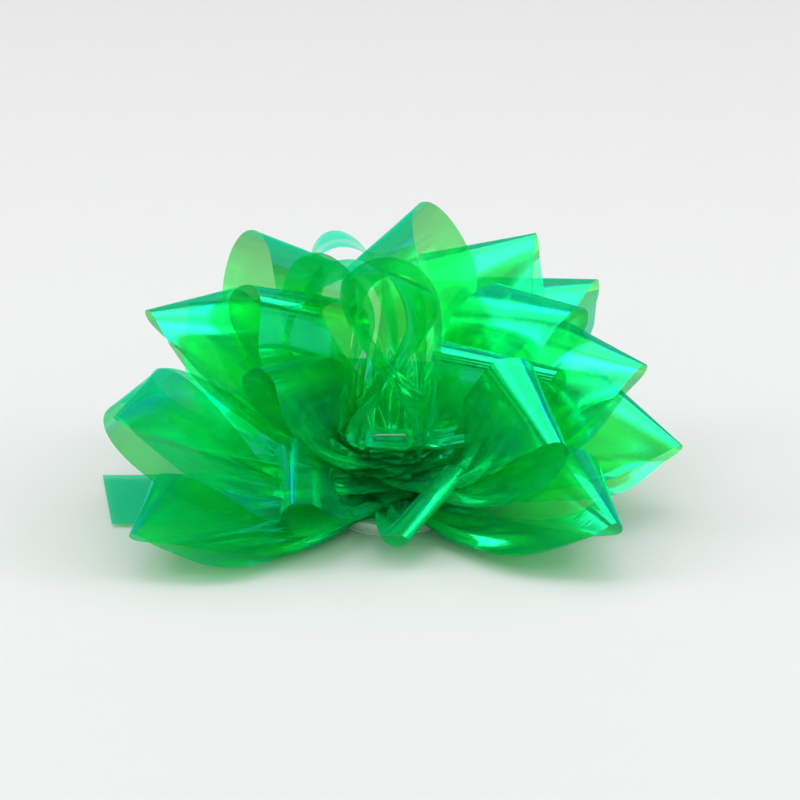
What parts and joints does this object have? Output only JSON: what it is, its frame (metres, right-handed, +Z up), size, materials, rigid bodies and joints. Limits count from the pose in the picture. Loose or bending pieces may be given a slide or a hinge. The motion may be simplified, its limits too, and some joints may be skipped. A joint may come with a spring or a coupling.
{
  "type": "gift bow",
  "caption": "Peel-and-stick star bow: pinched loops of clear iridescent ribbon in rising tiers, stapled to a round adhesive-backed card.",
  "frame": {"origin": "bottom centre of the release liner, on the surface the bow stands on, under the staple", "axes": "+Z up, away from the gift; +X to the right and -Y towards the viewer of its front"},
  "size_m": [0.1509, 0.1142, 0.0738],
  "materials": {
    "film": "clear iridescent green film",
    "card": "white board, matte",
    "foam": "white foam adhesive",
    "liner": "silicone paper",
    "wire": "plain wire"
  },
  "bodies": {
    "root": {"release_liner": "liner", "adhesive_pad": "foam", "card_disc": "card", "ribbon_tail": "film", "base_front_left": "film", "base_front_right": "film", "base_front_middle": "film", "base_front": "film", "base_back_left": "film", "base_back_right": "film", "base_left": "film", "base_back": "film", "base_right": "film", "lower_left": "film", "lower_right": "film", "lower_front_right": "film", "lower_back_right": "film", "lower_back_left": "film", "upper_left": "film", "upper_right": "film", "upper_far_right": "film", "upper_back_right": "film", "upper_back_left": "film", "upper_front": "film", "upper_front_left": "film", "crown_rear_left": "film", "crown_rear_right": "film", "crown_back": "film", "crown_left": "film", "crown_right": "film", "crown_front": "film", "staple": "wire"}
  },
  "joints": []
}
